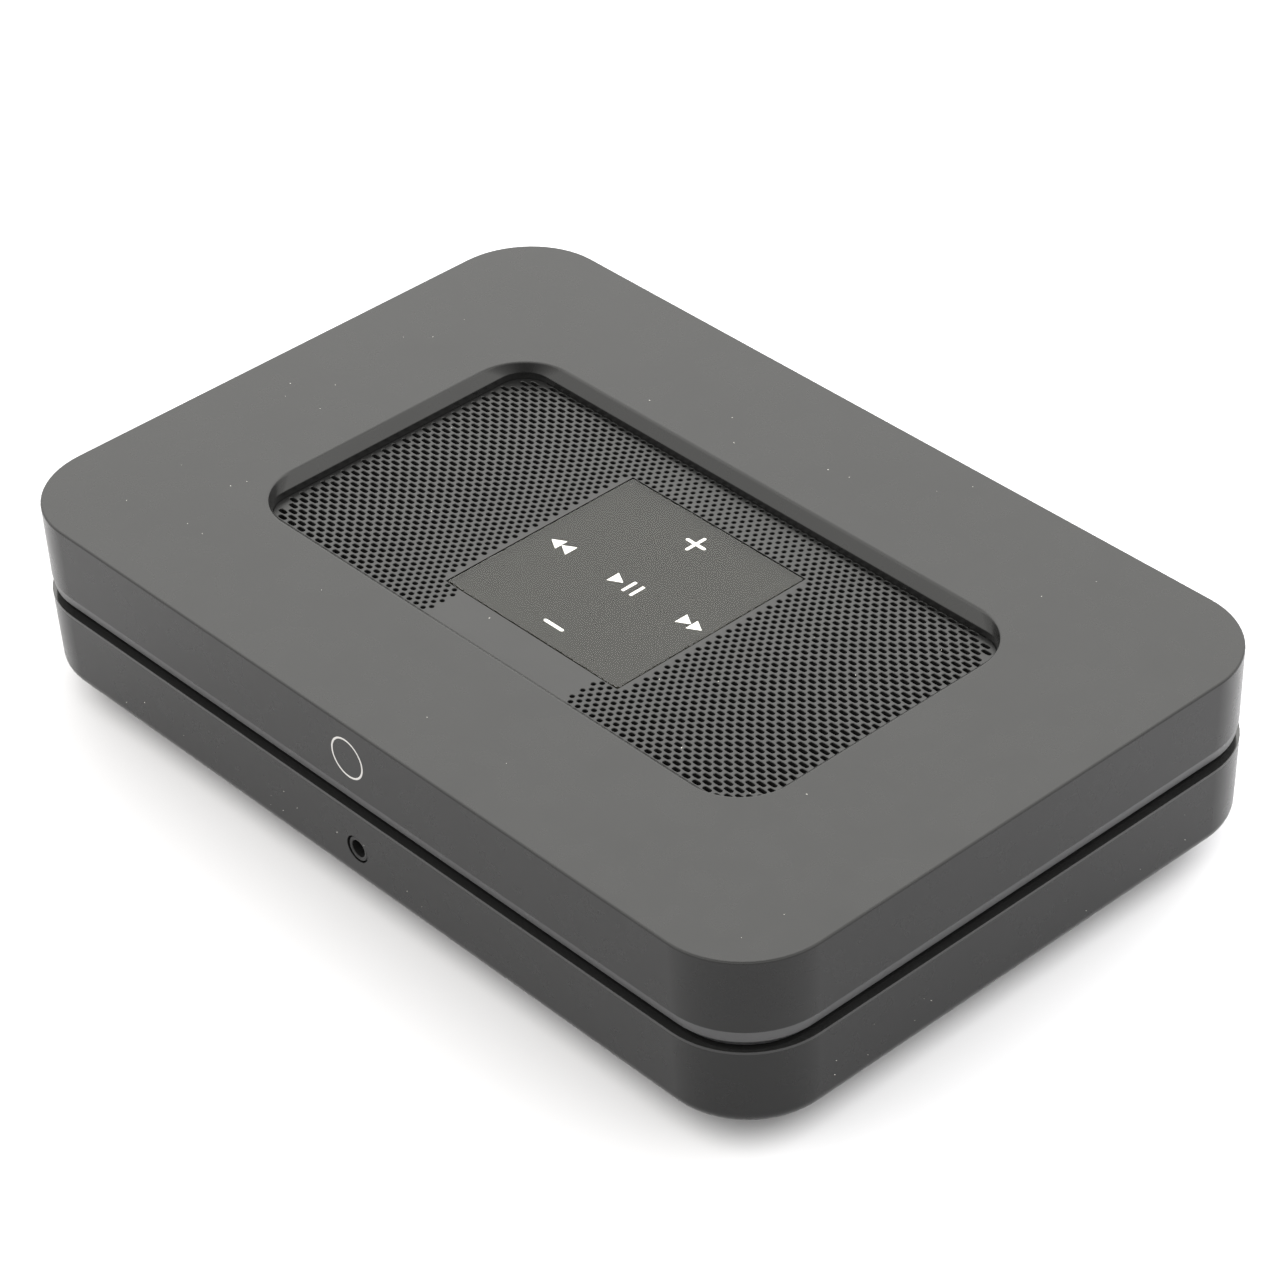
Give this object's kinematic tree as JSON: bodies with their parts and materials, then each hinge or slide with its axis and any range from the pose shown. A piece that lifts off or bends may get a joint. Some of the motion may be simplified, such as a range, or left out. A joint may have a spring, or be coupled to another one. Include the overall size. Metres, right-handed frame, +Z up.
{
  "type": "bluetooth audio receiver",
  "caption": "Low two-slab desktop audio receiver with a dark waist, a recessed perforated deck with a square touch panel, a front headphone jack and rear sockets.",
  "frame": {"origin": "centre of the base, on the plane the rubber foot stands on", "axes": "+X to the right seen from the front, +Y to the back where the sockets are, +Z up"},
  "size_m": [0.22, 0.146, 0.046],
  "materials": {
    "shell_grey": "soft-touch satin coating, fine grain",
    "deck_grey": "satin, perforated",
    "panel_gloss": "clear smoked acrylic, glossy",
    "mask_print": "printed film",
    "icon_white": "opal light guide",
    "guide_grey": "translucent light guide",
    "gloss_black": "glossy black",
    "matte_black": "fine matt moulding",
    "dust_cloth": "woven dust mesh",
    "foot_rubber": "matt soft rubber",
    "board_green": "soldermask over glass-epoxy board",
    "board_brown": "bare phenolic board",
    "chip_black": "moulded component bodies",
    "bright_steel": "tin-plated steel",
    "nickel": "nickel plate",
    "contact_brass": "gilt contact",
    "sink_black": "black anodised",
    "sink_plain": "plain extruded",
    "ribbon_amber": "polyimide flat cable",
    "tape_yellow": "winding tape over ferrite core",
    "sleeve_navy": "shrink sleeve",
    "lead_black": "coaxial lead sheath",
    "lead_red": "insulated supply lead",
    "sheet_clear": "insulating film",
    "ring_white": "coloured insert",
    "ring_red": "coloured insert",
    "ring_orange": "coloured insert",
    "insulator_ivory": "moulded insulator",
    "sensor_red": "infrared window",
    "antenna_film": "flexible printed antenna",
    "button_grey": "moulded cap"
  },
  "bodies": {
    "case": {"top_shell": "shell_grey", "grille_plate": "deck_grey", "grille_mesh": "dust_cloth", "touch_panel": "panel_gloss", "touch_mask": "mask_print", "touch_icons": "icon_white", "panel_carrier": "matte_black", "touch_board": "board_green", "touch_ribbon": "ribbon_amber", "status_ring": "guide_grey", "status_board": "board_green", "remote_sensor": "sensor_red", "waist_frame": "gloss_black", "bottom_shell": "shell_grey", "rubber_foot": "foot_rubber", "case_screws": "bright_steel", "main_board": "board_green", "power_board": "board_brown", "board_screws": "bright_steel", "board_chips": "chip_black", "processor_shield": "bright_steel", "heat_sink": "sink_black", "wireless_module": "bright_steel", "antenna_left": "antenna_film", "antenna_right": "antenna_film", "antenna_leads": "lead_black", "power_transformer": "tape_yellow", "bulk_capacitor": "sleeve_navy", "power_heat_sink": "sink_plain", "supply_lead": "lead_red", "insulation_sheet": "sheet_clear", "mains_inlet": "matte_black", "mains_pins": "nickel", "rear_panel": "matte_black", "lan_socket": "bright_steel", "lan_contacts": "contact_brass", "usb_socket": "bright_steel", "usb_tongue": "insulator_ivory", "service_socket": "bright_steel", "trigger_jack": "matte_black", "remote_input_jack": "matte_black", "audio_input_jack": "matte_black", "optical_socket": "matte_black", "phono_block": "matte_black", "phono_barrels": "nickel", "phono_contacts": "insulator_ivory", "phono_ring_left": "ring_white", "phono_ring_right": "ring_red", "phono_ring_sub": "chip_black", "phono_ring_digital": "ring_orange", "headphone_jack": "matte_black", "headphone_bezel": "shell_grey", "pair_switch": "chip_black"},
    "shutter": {"optical_shutter": "chip_black"},
    "button": {"pair_button": "button_grey"}
  },
  "joints": [
    {"name": "shutter_hinge", "type": "hinge", "parent": "case", "child": "shutter", "pos_m": [-0.007, 0.063, 0.0181], "axis": [-1, 0, 0], "range_deg": [0, 80], "stiffness_Nm_per_rad": 0.0004},
    {"name": "button_press", "type": "slide", "parent": "case", "child": "button", "axis": [0, -1, 0], "range_m": [0, 0.0005], "stiffness_N_per_m": 900}
  ]
}
